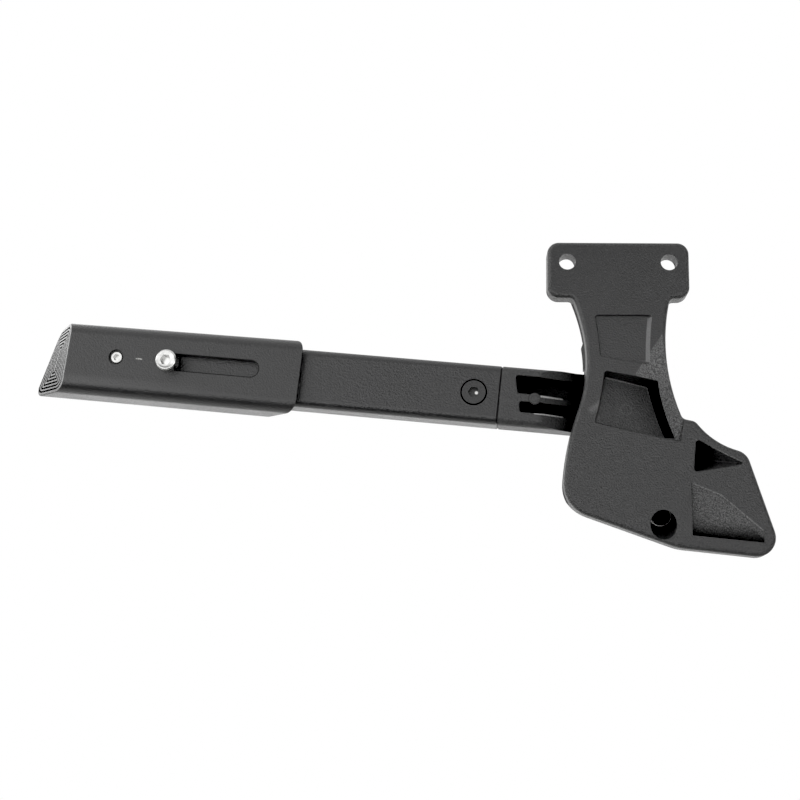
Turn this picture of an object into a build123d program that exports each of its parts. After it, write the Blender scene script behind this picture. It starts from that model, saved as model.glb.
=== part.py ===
from build123d import *
import math
import os

# Folding bicycle kickstand, leg folded back. Millimetres.
# +X forward, +Y outward, +Z up. Origin: centre of the two mounting holes, on the face that meets the frame.

# Mounting flange
hole_spacing = 40.0
hole_dia = 6.6
flange_width = 55.8
flange_above = 8.2
flange_below = 14.6
flange_thick = 7.5
flange_corner = 4.6
flange_root = 2.4

# Neck and lower body of the bracket
plate_thick = 10.0
waist_left_in = 14.8
waist_right_in = 9.7
waist_drop = 36.0
edge_round = 1.5
mouth_round = 0.4
heel_cut = 3.5
rib_width = 4.0
rib_height = 5.0
neck_pocket_deep = 1.3
neck_pocket_lean = 1.6
facet_fall = 2.5
ramp_slope = 14.0
ramp_knee = (22.7, 12.0)
ramp_turns = (20.7, 43.1)
ramp_blend = 40.0
ramp_toes = ((28.0, 3.3), (45.0, 0.0))
cut_ahead = 2.0
wedge_slope = 52.0
wedge_lip = 0.6
pocket_round = 1.0

# Oblique fold axis: it passes the face at this point and rises outward by the tilt
pivot_forward = 15.8
pivot_drop = 104.2
pivot_tilt = 28.0
fold_angle = 105.0

# Stack along the fold axis, counted from the face
screw_pocket_dia = 10.0
screw_pocket_deep = 13.9
screw_head_dia = 8.5
screw_head_high = 5.0
screw_dia = 5.0
screw_reach = 12.0
screw_hex = 4.0
screw_rim = 0.6
boss_radius = 11.5
boss_top = 19.4
pin_dia = 12.0
pin_seat = 3.0
pin_head_dia = 20.0
pin_head_thick = 2.2
bush_wall = 1.0
bush_flange = 1.0
bush_gap = 0.4
hub_radius = 12.5
hub_length = 12.0
running_fit = 0.03
thread_fit = 0.05
end_play = 0.05

# Over-centre spring and its posts, as polar places about the fold axis
bracket_post_radius = 28.0
bracket_post_angle = 15.0
arm_post_radius = 14.5
post_dia = 5.0
collar_dia = 7.0
post_lip = 0.9
post_head = 1.6
post_sink = 7.5
post_boss = 5.0
post_boss_top = 27.0
ear_radius = 6.0
spring_wire = 1.3
spring_outer = 7.0
spring_lift = 3.9
spring_turns = 5
spring_end = 10.0
spring_join = 0.36
spring_bead = 0.08
hook_clear = 0.1

# Stops
stop_dia = 6.0
stop_radius = 16.0
stop_angle = 30.0
stop_gap = 0.2
stop_top = 32.0
stop_boss = 5.0
catch_sweep = 20.0
catch_radius = 16.4
catch_thick = 4.4
buffer_size = (13.2, 2.4, 6.4)
buffer_at = (38.9, -0.9)
buffer_gap = 0.3
buffer_stem = 4.0
ledge_low = 44.0
ledge_high = 31.0
ledge_ahead = 6.0
ledge_back = 18.0

# Leg, from its seam with the arm's knuckle
leg_back = 61.7
leg_raise = 52.1
leg_out = 9.0
leg_rise_deg = 5.4
leg_splay_deg = 4.0
leg_high = 23.9
leg_deep = 14.0
leg_corner = 3.0
leg_wall = 2.0
leg_length = 162.0
leg_screw_at = 10.2
leg_screw_head = 10.2
leg_screw_dia = 6.0
leg_screw_reach = 10.0
leg_screw_rim = 0.35
spigot_length = 26.0
spigot_fit = 0.1
seam_groove = 0.45

# Arm behind the bracket
arm_gap = 1.5
arm_thick = 9.5
knuckle_length = 31.0
knuckle_pocket = 11.5
knuckle_round = 0.6
pocket_corner = 0.8
pad_dia = 4.8
pad_at = 14.0
pad_rise = 0.15
arm_bend = 12.0
relief_run = 14.5

# Foot sleeve
sleeve_wall = 3.0
sleeve_corner = 5.0
slide_clear = 0.2
mouth_back = 81.8
mouth_slant = 18.0
sleeve_taper = 0.9
sole_ahead = 15.5
sole_reach = (11.8, 20.0)
sole_thick = 9.5
sole_round = 0.5
slot_travel = 34.0
slot_width = 6.8
slot_raise = 0.9
bolt_raise = 0.6
bolt_back = 27.4
bolt_dia = 5.0
bolt_head_dia = 8.7
bolt_head_high = 4.6
bolt_hex = 4.0
bolt_rim = 0.7
bolt_lift = 0.1
nut_size = (16.0, 16.0, 6.5)
grub_back = 5.2
grub_dia = 5.0
grub_rim = 0.65
grub_recess = 0.5
grub_hex = 2.5
tread_rings = 6
tread_pitch = 1.5
tread_groove = 0.75
tread_depth = 1.3
tread_rim = 1.3
plug_length = 12.0
plug_lip = 1.2

# Places that follow from the sizes above
pivot_z = -pivot_drop
tilt = math.radians(pivot_tilt)
neck_left = flange_width / 2 - waist_left_in
neck_right = flange_width / 2 - waist_right_in
hub_base = boss_top + bush_flange + end_play
hub_top = hub_base + hub_length
ear_top = hub_top
pin_head_base = hub_top + bush_flange + end_play
spring_depth = pin_head_base + pin_head_thick + spring_lift
arm_front = plate_thick + arm_gap
sleeve_high = leg_high + 2 * (sleeve_wall + slide_clear)
sleeve_deep = leg_deep + 2 * (sleeve_wall + slide_clear)
corner_left = (pivot_forward - 38.1, pivot_z + 6.5)
corner_mid = (pivot_forward + 5.2, pivot_z - 8.6)
corner_right = (pivot_forward + 45.2, pivot_z - 12.4)
mouth_at = leg_length - mouth_back
bolt_at = leg_length - bolt_back
grub_at = leg_length - grub_back
sole_at = leg_length + sole_ahead
ledge_under = leg_high / 2 + buffer_gap + buffer_size[1]
spring_mean = (spring_outer - spring_wire) / 2
hook_radius = post_dia / 2 + spring_wire / 2 + hook_clear

# Fold frame: local x forward, local y up in the plane of the swing, local z back towards the face
fold = Plane(
    origin=(pivot_forward, 0, pivot_z),
    x_dir=(1, 0, 0),
    z_dir=(0, -math.cos(tilt), -math.sin(tilt)),
)

# Leg frame: local x forward to the pivot, local y up, local z to the wheel side, origin in the seam
splay = math.radians(leg_splay_deg)
climb = math.tan(math.radians(leg_rise_deg))
leg_dir = Vector(-math.cos(splay), math.sin(splay), climb).normalized()
leg_front = Vector(-math.sin(splay), -math.cos(splay), 0)
seam = Vector(pivot_forward - leg_back, leg_out + leg_deep / 2, pivot_z + leg_raise)
leg = Plane(origin=seam, x_dir=-leg_dir, z_dir=leg_front)


# Straight places from polar ones about the fold axis
def polar(radius, angle):
    turn = math.radians(angle)
    return radius * math.cos(turn), radius * math.sin(turn)


bracket_post = polar(bracket_post_radius, bracket_post_angle)
arm_post = polar(arm_post_radius, bracket_post_angle + 180 - fold_angle / 2)
stop_place = polar(stop_radius, stop_angle)


# Round bar along the fold axis between two depths
def rod(radius, start, end, place=(0, 0)):
    bar = Cylinder(radius, end - start, align=(Align.CENTER, Align.CENTER, Align.MAX))
    return fold * Pos(place[0], place[1], -start) * bar


# Hexagon socket along the fold axis
def fold_hex(width, start, end):
    return fold * Pos(0, 0, -end) * extrude(RegularPolygon(width / 2, 6, major_radius=False), end - start)


# Round bar square to the leg's broad face, at a distance towards the foot, between two heights
def stud(radius, at, low, high, up=0.0):
    bar = Cylinder(radius, high - low, align=(Align.CENTER, Align.CENTER, Align.MIN))
    return Pos(-at, up, low) * bar


def stud_hex(width, at, low, high, up=0.0):
    return Pos(-at, up, low) * extrude(RegularPolygon(width / 2, 6, major_radius=False), high - low)


# Prism of a rounded section along the leg, between two distances towards the foot
def tube(high, deep, corner, start, end):
    face = Plane.YZ * RectangleRounded(high, deep, corner)
    return Pos(-end, 0, 0) * extrude(face, end - start)


# Slab square to the mounting face, between two depths
def slab(face, start, end):
    return Pos(0, start, 0) * extrude(face, -(end - start))


# Closed outline through corners, with an arc on the sides that have a bow point, each at its own depth
def outline(corners, bows, depth, rounds=()):
    sides = []
    for index, corner in enumerate(corners):
        follow = corners[(index + 1) % len(corners)]
        ends = [Vector(px, depth(px, pz), pz) for px, pz in (corner, follow)]
        if index in bows:
            px, pz = bows[index]
            sides.append(ThreePointArc(ends[0], Vector(px, depth(px, pz), pz), ends[1]))
        else:
            sides.append(Line(*ends))
    face = make_face(sides)
    for (px, pz), radius in zip(corners, rounds):
        face = fillet(face.vertices().sort_by_distance((px, depth(px, pz), pz))[0], radius)
    return face


def level(height):
    return lambda px, pz: height


# Recess with straight walls down to a flat floor that may slope
def recess(mouth, bows, depth, rounds=()):
    face = outline(mouth, bows, level(-1), rounds)
    block = extrude(face, 3 * plate_thick, dir=(0, 1, 0))
    near, side, far = [Vector(px, depth(px, pz), pz) for px, pz in mouth[:3]]
    facing = (side - near).cross(far - near)
    if facing.Y < 0:
        facing = -facing
    beyond = Box(*[4 * pivot_drop] * 3, align=(Align.CENTER, Align.CENTER, Align.MIN))
    return block - Plane(origin=near, z_dir=facing) * beyond


# Neck sides, then the lower body set out from the fold axis
def body_face():
    x, z = pivot_forward, pivot_z
    top = 2 - flange_below
    left_top = (-neck_left - 5.6, top)
    left_bend = (-neck_left - 2.1, -waist_drop + 13.4)
    left_waist = (-neck_left - 0.3, -waist_drop + 5)
    left_turn = (-neck_left - 2.8, -waist_drop - 23)
    left_low = (x - 37.5, z + 18.0)
    corner_top = (x + 32.2, z + 28.5)
    step_out = (x + 13.1, z + 40.4)
    step_in = (x + 8.2, z + 41.4)
    right_top = (neck_right + 2.5, top)
    rounds = [(corner_left, 13), (corner_mid, 25), (corner_right, 7.4), (corner_top, 6.5)]
    rounds += [(step_out, 3.5), (step_in, 2.5)]
    with BuildSketch(Plane.XZ) as shape:
        with BuildLine():
            upper = ThreePointArc(left_top, left_bend, left_waist)
            waist = TangentArc(left_waist, left_turn, tangent=upper % 1)
            TangentArc(left_turn, left_low, tangent=waist % 1)
            Polyline(left_low, corner_left, corner_mid, corner_right, corner_top)
            ThreePointArc(corner_top, (x + 20.7, z + 33.0), step_out)
            Line(step_out, step_in)
            ThreePointArc(step_in, (neck_right, -waist_drop), right_top)
            Line(right_top, left_top)
        make_face()
        for (px, pz), radius in rounds:
            fillet(shape.vertices().sort_by_distance((px, pz, 0))[0], radius)
    return shape.sketch


def flange_face(body):
    middle = (flange_above - flange_below) / 2
    high = flange_above + flange_below
    joined = Plane.XZ * Pos(0, middle) * RectangleRounded(flange_width, high, flange_corner) + body
    roots = joined.vertices().filter_by_position(Axis.Z, -flange_below - 0.3, -flange_below + 0.3)
    roots = [v for v in roots if abs(v.X) < flange_width / 2 - flange_corner - 0.5]
    return fillet(roots, flange_root)


# Shallow neck pocket, its right wall leaning as far as neck_pocket_lean
def neck_pocket():
    z, lean = -waist_drop, neck_pocket_lean
    mouth = [(-9.3, z + 14.1), (13.0, z + 14.3), (11.9, z - 5.5), (-7.3, z - 2.3)]
    bottom = [mouth[0], (13.0 - lean, z + 14.2), (11.9 - lean, z - 5.2), mouth[3]]
    bows = {1: (12.1, z + 4.4), 3: (-8.0, z + 6.0)}
    bottom_bows = {1: (12.1 - lean, z + 4.4), 3: (-8.0, z + 6.0)}
    rounds = [pocket_round] * 4
    top = outline(mouth, bows, level(-0.01), rounds)
    return loft([top, outline(bottom, bottom_bows, level(neck_pocket_deep), rounds)], ruled=True)


# Lower neck pocket: almost flush at its lower left, deepest at its upper right, leaning right wall
def waist_pocket():
    x, z = pivot_forward, pivot_z

    def floor(px, pz):
        return 0.5 + 0.14 * (px - x + 25.8) + 0.14 * (pz - z - 39.3)

    mouth = [(x - 21.6, z + 60.0), (x - 0.9, z + 56.3), (x + 7.5, z + 32.1), (x - 25.7, z + 39.2)]
    bottom = [(x - 21.2, z + 58.4), (x - 4.5, z + 54.6), (x + 1.6, z + 33.5), (x - 25.4, z + 39.6)]
    bows = {1: (x + 1.8, z + 44.2), 3: (x - 23.1, z + 49.8)}
    bottom_bows = {1: (x - 2.2, z + 45.0), 3: (x - 22.8, z + 49.8)}
    rounds = (pocket_round, pocket_round, pocket_round / 2, pocket_round)
    ends = outline(mouth, bows, level(-0.01), rounds), outline(bottom, bottom_bows, floor, rounds)
    return loft(ends, ruled=True)


# Floor that falls away at an angle from a line on the face, from a lip of its own depth
def falling(first, second, slope, lip=0.0):
    long = math.dist(first, second)
    away = (second[1] - first[1]) / long, (first[0] - second[0]) / long
    fall = math.tan(math.radians(slope))
    return lambda px, pz: lip + fall * ((px - first[0]) * away[0] + (pz - first[1]) * away[1])


# Three-sided pocket on the lobe: two steep floors meet in a crease that rises to the right-hand tip
def wedge_pocket():
    x, z = pivot_forward, pivot_z
    top, low, tip = (x + 13.1, z + 33.4), (x + 12.0, z + 20.7), (x + 30.8, z + 24.1)
    bows = {1: (x + 21.2, z + 21.7), 2: (x + 21.9, z + 28.4)}
    rounds = (pocket_round, pocket_round, pocket_round / 3)
    upper = recess([top, low, tip], bows, falling(top, tip, wedge_slope, wedge_lip), rounds)
    lower = recess([top, low, tip], bows, falling(tip, low, wedge_slope, wedge_lip), rounds)
    return upper & lower


# Recess whose sloping floor starts at a line on the face, or some way ahead of it
def ramp(first, second, rest, slope, ahead=0.0):
    long = math.dist(first, second)
    back = ahead / math.tan(math.radians(slope)) / long
    shift = back * (first[1] - second[1]), back * (second[0] - first[0])
    start = [(px + shift[0], pz + shift[1]) for px, pz in (first, second)]
    return recess(start + rest, {}, falling(first, second, slope))


# Hollowed ramp on the lobe: a conical floor joins two flat ones under a knee in the upper edge, and a
# steeper toe ends them
def ramp_pocket():
    x, z = pivot_forward, pivot_z
    left, right = x + 10.8, x + 37.6
    low_left, low_right = (left, z - 3.8), (right, z - 6.2)
    reach, spare = right - left, 2 * plate_thick
    wide = [(right + spare, z - spare), (left - spare, z - spare)]
    knee = Vector(x + ramp_knee[0], 0, z + ramp_knee[1])
    high_left, high_right = (left, knee.Z + spare), (right, knee.Z + spare)
    hollow = recess([high_left, high_right, low_right, low_left], {}, level(plate_thick))
    half = math.radians(ramp_turns[1] - ramp_turns[0]) / 2
    kite = []
    for side, turn in zip((-1, 1), ramp_turns):
        along = Vector(1, 0, 0).rotate(Axis.Y, turn)
        ends = [knee - along * reach, knee + along * reach]
        hollow &= ramp(*[(end.X, end.Z) for end in ends], wide, ramp_slope, cut_ahead)
        kite.append(knee + along * side * ramp_blend * math.tan(half))
    centre = kite[0] + Vector(0, 0, -ramp_blend).rotate(Axis.Y, ramp_turns[0])
    fall = math.tan(math.radians(ramp_slope))
    deep = ramp_blend * fall + cut_ahead
    cone = Cone(deep / fall, 0, deep, align=(Align.CENTER, Align.CENTER, Align.MIN))
    cone = Plane(origin=centre - Vector(0, cut_ahead, 0), z_dir=(0, 1, 0)) * cone
    corners = [(place.X, place.Z) for place in (kite[0], knee, kite[1], centre)]
    hollow -= recess(corners, {}, level(plate_thick)) - cone
    toes = []
    for slope, raised in ramp_toes:
        ends = (left, z + 2.9 + raised), (right, z - 5.4 + raised)
        toes.append(ramp(*ends, [low_right, low_left], slope))
    return hollow, toes[0] & toes[1]


# Slanted strip down the neck's right side
def side_facet():
    x, z = pivot_forward, pivot_z
    high, low = (16.6, 6.6 - waist_drop), (6.3, -9.1 - waist_drop)
    area = [(x + 12.0, 8.0 - waist_drop), (x + 14.0, z + 44.0), (x + 8.6, z + 41.2)]
    area += [(x + 7.2, z + 32.3), (x + 2.0, z + 34.0), (x - 8.0, z + 48.0)]
    return ramp(low, high, area, facet_fall)


# Round stem of the rubber buffer, square to the leg's top edge
def buffer_bar(start, end):
    bar = Cylinder(buffer_stem / 2, end - start, align=(Align.CENTER, Align.CENTER, Align.MIN))
    return leg * Pos(buffer_at[0], ledge_under + start, buffer_at[1]) * Rot(-90, 0, 0) * bar


# Ledge behind the neck, over the leg's top edge, that carries the rubber buffer
def stop_ledge(body):
    wide = flange_width
    place = Plane.XZ * Pos(ledge_ahead - wide / 2, -(ledge_low + ledge_high) / 2)
    area = place * Rectangle(wide, ledge_low - ledge_high)
    ledge = slab(area & body, plate_thick - 2, ledge_back)
    over = Box(4 * wide, wide, 4 * wide, align=(Align.CENTER, Align.MAX, Align.CENTER))
    return ledge - leg * Pos(0, ledge_under, 0) * over


# Slope behind one straight length of the lower edge
def heel(start, end):
    along = Vector(end[0] - start[0], 0, end[1] - start[1])
    down = Vector(along.Z, 0, -along.X).normalized()
    place = Plane((start[0], plate_thick - heel_cut, start[1]), along, down + Vector(0, 1, 0))
    size = (3 * along.length, 4 * plate_thick, 4 * plate_thick)
    return place * Box(*size, align=(Align.CENTER, Align.CENTER, Align.MIN))


def make_bracket():
    x, z = pivot_forward, pivot_z
    body = body_face()
    plate = slab(flange_face(body), 0, flange_thick) + slab(body, 0, plate_thick)
    plate = plate.fillet(edge_round, plate.edges().group_by(Axis.Y)[0])
    plate -= [neck_pocket(), waist_pocket(), wedge_pocket()]
    mouths = plate.faces().sort_by(Axis.Y)[0].inner_wires()
    plate = plate.fillet(mouth_round, [edge for mouth in mouths for edge in mouth.edges()])
    plate -= [*ramp_pocket(), side_facet()]
    plate -= [heel(corner_left, corner_mid), heel(corner_mid, corner_right)]
    for middle in (-7.5, 10.5):
        rib = Plane.XZ * Pos(middle, -flange_below - 8) * Rectangle(rib_width, 20)
        plate += slab(rib, plate_thick - 2, plate_thick + rib_height)
    column = Pos(0, 0, heel_cut) * slab(body, plate_thick / 2, 2 * boss_top)
    plate += rod(boss_radius, 0, boss_top) & column
    plate += rod(stop_boss, 11, boss_top, stop_place)
    cone = Cone(post_boss, post_boss + 1.5, post_boss_top - 10, align=(Align.CENTER, Align.CENTER, Align.MIN))
    plate += fold * Pos(*bracket_post, -post_boss_top) * cone
    for start, end in (((x + 24, z + 4), (x + 10, z - 1)), ((x + 29, z + 8), (x + 36, z - 4))):
        run = math.dist(start, end)
        turn = math.degrees(math.atan2(end[1] - start[1], end[0] - start[0]))
        web = Plane.XZ * Pos((start[0] + end[0]) / 2, (start[1] + end[1]) / 2) * Rot(0, 0, turn)
        plate += slab(web * Rectangle(run, rib_width), plate_thick - 2, plate_thick + rib_height)
    plate += stop_ledge(body)
    plate -= buffer_bar(-1, 6)
    plate -= rod(screw_pocket_dia / 2, -12, screw_pocket_deep)
    plate -= rod(screw_dia / 2 + 0.25, screw_pocket_deep - 1, boss_top)
    plate -= rod(pin_dia / 2 + running_fit / 2, boss_top - pin_seat, boss_top + 4)
    plate -= rod(stop_dia / 2, 12, boss_top + 4, stop_place)
    plate -= rod(post_dia / 2, post_boss_top - post_sink, post_boss_top + 1, bracket_post)
    for side in (-1, 1):
        hole = Plane.XZ * Pos(side * hole_spacing / 2, 0) * Circle(hole_dia / 2)
        plate -= slab(hole, -1, flange_thick + 1)
    return plate


def make_buffer():
    pad = Box(*buffer_size, align=(Align.CENTER, Align.MAX, Align.CENTER))
    pad = fillet(pad.edges().filter_by(Axis.Y), buffer_size[1] * 0.8)
    return leg * Pos(buffer_at[0], ledge_under, buffer_at[1]) * pad + buffer_bar(-0.5, 5)


def make_pin():
    base = boss_top - pin_seat
    pin = rod(pin_dia / 2, base, pin_head_base + 0.5)
    pin += rod(pin_head_dia / 2, pin_head_base, pin_head_base + pin_head_thick)
    return pin - rod(screw_dia / 2 + thread_fit, base - 1, base + screw_reach)


def make_pivot_screw():
    front = screw_pocket_deep - screw_head_high
    screw = rod(screw_head_dia / 2, front, screw_pocket_deep)
    screw = chamfer(screw.edges().sort_by(Axis(fold.origin, fold.z_dir))[-1], screw_rim)
    screw += rod(screw_dia / 2, screw_pocket_deep - 1, boss_top - pin_seat + screw_reach - 1.5)
    return screw - fold_hex(screw_hex, front - 1, front + 2.6)


# Bush pressed into the hub from one side, with its flange outside
def make_bush(face, inward):
    outer = pin_dia / 2 + running_fit + bush_wall
    sleeve_end = face + inward * (hub_length - bush_gap) / 2
    rim = face - inward * bush_flange
    bush = rod(outer, min(face, sleeve_end), max(face, sleeve_end))
    bush += rod(pin_head_dia / 2, min(face, rim), max(face, rim))
    return bush - rod(pin_dia / 2 + running_fit, hub_base - 5, hub_top + 5)


def knuckle_side(corners):
    face = fillet(make_face(Polyline(*corners, close=True)).vertices(), pocket_corner)
    return Pos(0, 0, leg_deep / 2 - knuckle_pocket) * extrude(face, knuckle_pocket + 1)


def arm_face():
    x, z = pivot_forward, pivot_z
    top, low, bend = [
        leg.from_local_coords(Vector(px, py, 0))
        for px, py in (
            (knuckle_length - 1, leg_high / 2),
            (knuckle_length - 1, -leg_high / 2),
            (knuckle_length + arm_bend, leg_high / 2),
        )
    ]
    top, low, bend = [(place.X, place.Z) for place in (top, low, bend)]
    along = (-leg_dir.X, -leg_dir.Z)
    with BuildSketch(Plane.XZ) as shape:
        with BuildLine():
            Line(top, bend)
            TangentArc(bend, (x + 9.5, z + 19.2), tangent=along)
            Polyline((x + 9.5, z + 19.2), (x + 9.5, z + 8), (x - 10.7, z + 8), (x - 10.7, z + 14.2))
            TangentArc(low, (x - 10.7, z + 14.2), tangent=along)
            Line(low, top)
        make_face()
    return shape.sketch


# Catch on the hub that meets the stop pin when the leg is down
def hub_catch():
    shadow = math.degrees(math.asin(stop_dia / 2 / stop_radius))
    lead = stop_angle - shadow - math.degrees(stop_gap / stop_radius) - fold_angle
    tail = lead - catch_sweep
    inner = hub_radius - 3
    far = [polar(catch_radius, angle) for angle in (tail, (tail + lead) / 2, lead)]
    near = [polar(inner, angle) for angle in (lead, tail)]
    face = make_face([ThreePointArc(*far), Polyline(far[2], near[0], near[1], far[0])])
    return fold * Pos(0, 0, -hub_top) * extrude(face, catch_thick)


# Front clearance that slopes from the knuckle's front face back to the arm behind the bracket
def arm_relief():
    start, end = [
        leg.from_local_coords(Vector(px, 0, leg_deep / 2))
        for px in (knuckle_length - relief_run, knuckle_length)
    ]
    ahead = pivot_forward + leg_back
    side = [(start.X, -arm_front), (start.X, start.Y), (end.X, arm_front), (ahead, arm_front)]
    side += [(ahead, -arm_front)]
    deep = pivot_drop + hub_radius
    return Pos(0, 0, -deep) * extrude(make_face(Polyline(*side, close=True)), deep)


def make_arm():
    far = knuckle_length + 9
    knuckle = tube(leg_high, leg_deep, leg_corner, -knuckle_length, 0)
    knuckle = chamfer(knuckle.edges().filter_by_position(Axis.X, -0.01, 0.01), seam_groove)
    knuckle -= knuckle_side([(5.9, 8.2), (far, 8.2), (far, 0.6), (7.2, 1.3)])
    knuckle -= knuckle_side([(8.1, -2.2), (far, -1.6), (far, -6.25), (8.9, -6.25)])
    lips = knuckle.faces().sort_by(Axis.Z)[-1].edges().filter_by_position(Axis.Y, -7, 8.5)
    lips = lips.filter_by_position(Axis.X, 2, knuckle_length - 0.5)
    knuckle = fillet(lips, knuckle_round)
    knuckle += stud(pad_dia / 2, -pad_at, 1 - leg_deep / 2, leg_deep / 2 + pad_rise, -0.65)
    inset = leg_wall + spigot_fit
    spigot = tube(leg_high - 2 * inset, leg_deep - 2 * inset, leg_corner - leg_wall, -3, spigot_length)
    knuckle += spigot - stud(leg_screw_dia / 2 + thread_fit, leg_screw_at, -leg_deep, leg_deep)
    arm = leg * knuckle - arm_relief()
    arm += slab(arm_face(), arm_front, arm_front + arm_thick)
    arm -= rod(leg_back, -leg_back, hub_base)
    arm += rod(hub_radius, hub_base, hub_top)
    arm += rod(ear_radius, hub_base + 0.6, ear_top, arm_post)
    arm += hub_catch()
    arm -= rod(pin_dia / 2 + running_fit + bush_wall, hub_base - 2, hub_top + 6)
    arm -= rod(pin_head_dia / 2 + 0.5, hub_top, hub_top + 12)
    arm -= rod(post_dia / 2, ear_top - post_sink, ear_top + 6, arm_post)
    return arm


# Spring post: pressed end, collar, neck for the hook, and a lip above it
def make_post(place, seat):
    neck = spring_depth - post_lip
    post = rod(post_dia / 2, seat - post_sink, spring_depth + post_lip + 0.5, place)
    post += rod(collar_dia / 2, seat, neck, place)
    return post + rod(collar_dia / 2, spring_depth + post_lip, spring_depth + post_lip + post_head, place)


# Straight piece of the spring wire from one point to another
def wire_piece(start, end):
    run = end - start
    bar = Cylinder(spring_wire / 2, run.length, align=(Align.CENTER, Align.CENTER, Align.MIN))
    return Plane(origin=start, z_dir=run) * bar


def make_spring():
    ends = [fold.from_local_coords(Vector(*place, -spring_depth)) for place in (bracket_post, arm_post)]
    span = (ends[1] - ends[0]).length
    frame = Plane(origin=ends[0], x_dir=fold.z_dir, z_dir=ends[1] - ends[0])
    coil_length = span - 2 * spring_end
    path = Pos(0, 0, spring_end) * Helix(coil_length / spring_turns, coil_length, spring_mean)
    section = Plane(origin=path @ 0, z_dir=path % 0) * Circle(spring_wire / 2)
    spring = sweep(section, path, is_frenet=True)
    join = spring_join / path.length
    for post, share, side in ((0, join, 1), (span, 1 - join, -1)):
        tip = path @ share
        hook = Vector(0, 0, post + side * hook_radius)
        end = Pos(0, 0, post) * Rot(0, 90, 0) * Torus(hook_radius, spring_wire / 2)
        end += wire_piece(hook, tip)
        spring += end + Pos(*tip) * Sphere(spring_wire / 2 + spring_bead)
    return frame * spring


# Cone of a countersunk head, with a clearance all round
def sunk_head(clear):
    high = (leg_screw_head - leg_screw_dia) / 2
    bottom = leg_screw_dia / 2 + clear
    cone = Cone(bottom, leg_screw_head / 2 + clear, high, align=(Align.CENTER, Align.CENTER, Align.MAX))
    return Pos(-leg_screw_at, 0, leg_deep / 2) * cone


def make_leg_tube():
    inner = (leg_high - 2 * leg_wall, leg_deep - 2 * leg_wall, leg_corner - leg_wall)
    pipe = tube(leg_high, leg_deep, leg_corner, 0, leg_length)
    pipe = chamfer(pipe.edges().filter_by_position(Axis.X, -0.01, 0.01), seam_groove)
    pipe -= tube(*inner, -1, leg_length + 1)
    pipe -= sunk_head(0)
    pipe -= stud(leg_screw_head / 2 + leg_screw_rim, leg_screw_at, leg_deep / 2 - leg_screw_rim, leg_deep)
    pipe -= stud(leg_screw_dia / 2 + thread_fit, leg_screw_at, 0, leg_deep)
    pipe -= stud(bolt_dia / 2 + slide_clear, bolt_at, 0, leg_deep, bolt_raise)
    return leg * pipe


def make_leg_screw():
    screw = sunk_head(0)
    screw += stud(leg_screw_dia / 2, leg_screw_at, leg_deep / 2 - leg_screw_reach, leg_deep / 2 - 1.5)
    return leg * (screw - stud_hex(bolt_hex, leg_screw_at, leg_deep / 2 - 2.2, leg_deep))


def make_adjust_bolt():
    seat = sleeve_deep / 2 + bolt_lift
    top = seat + bolt_head_high
    bolt = stud(bolt_head_dia / 2, bolt_at, seat, top, bolt_raise)
    bolt = fillet(bolt.edges().group_by(Axis.Z)[-1], bolt_rim)
    bolt += stud(bolt_dia / 2, bolt_at, leg_deep / 2 - leg_wall - nut_size[2] - 1, seat + 1, bolt_raise)
    return leg * (bolt - stud_hex(bolt_hex, bolt_at, top - 2.6, top + 1, bolt_raise))


def make_clamp_nut():
    top = leg_deep / 2 - leg_wall
    nut = Pos(-bolt_at, bolt_raise, top) * Box(*nut_size, align=(Align.CENTER, Align.CENTER, Align.MAX))
    nut = chamfer(nut.edges().filter_by(Axis.Z), 1.2)
    return leg * (nut - stud(bolt_dia / 2 + thread_fit, bolt_at, -leg_deep, leg_deep, bolt_raise))


def make_end_plug():
    inset = leg_wall + spigot_fit
    inner = (leg_high - 2 * inset, leg_deep - 2 * inset, leg_corner - leg_wall)
    plug = tube(*inner, leg_length - plug_length, leg_length + 0.5)
    plug += tube(leg_high - 0.4, leg_deep - 0.4, leg_corner - 0.2, leg_length, leg_length + plug_lip)
    return leg * (plug - tube(leg_high - 9, leg_deep - 8, 1, leg_length - plug_length - 1, leg_length - 2))


# End of the sleeve: square across the front edge, slanted and longer at the back edge
def sole_side(height):
    share = (sleeve_deep / 2 - height) / sleeve_deep
    half = sleeve_high / 2 + 2
    ends = [-sole_at - reach * share for reach in sole_reach]
    corners = [(ends[0], half), (ends[1], -half), (-mouth_at - 40, -half), (-mouth_at - 40, half)]
    return make_face(Polyline(*[Vector(px, py, height) for px, py in corners], close=True))


def sole_body():
    reach = sleeve_deep / 2 + 0.5
    return loft([sole_side(reach), sole_side(-reach)], ruled=True)


# Block inside the sole's outline by an inset all round
def tread_core(inset):
    high, deep = sleeve_high - sleeve_taper - 2 * inset, sleeve_deep - 2 * inset
    corner = max(sleeve_corner - inset, 0)
    face = RectangleRounded(high, deep, corner) if corner else Rectangle(high, deep)
    far = sole_at + 2 * sole_reach[1]
    return Pos(-far, -sleeve_taper / 2, 0) * extrude(Plane.YZ * face, 2 * sole_reach[1] + 5)


# Outside of the sleeve, its top falling a little towards the sole
def sleeve_block(start, end):
    block = tube(sleeve_high, sleeve_deep, sleeve_corner, start, end)
    fall = math.degrees(math.atan(sleeve_taper / (end - start)))
    turned = Rot(0, 0, fall) * Pos(start, sleeve_high / 2, 0) * block
    return block & Pos(-start, -sleeve_high / 2, 0) * turned


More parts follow.
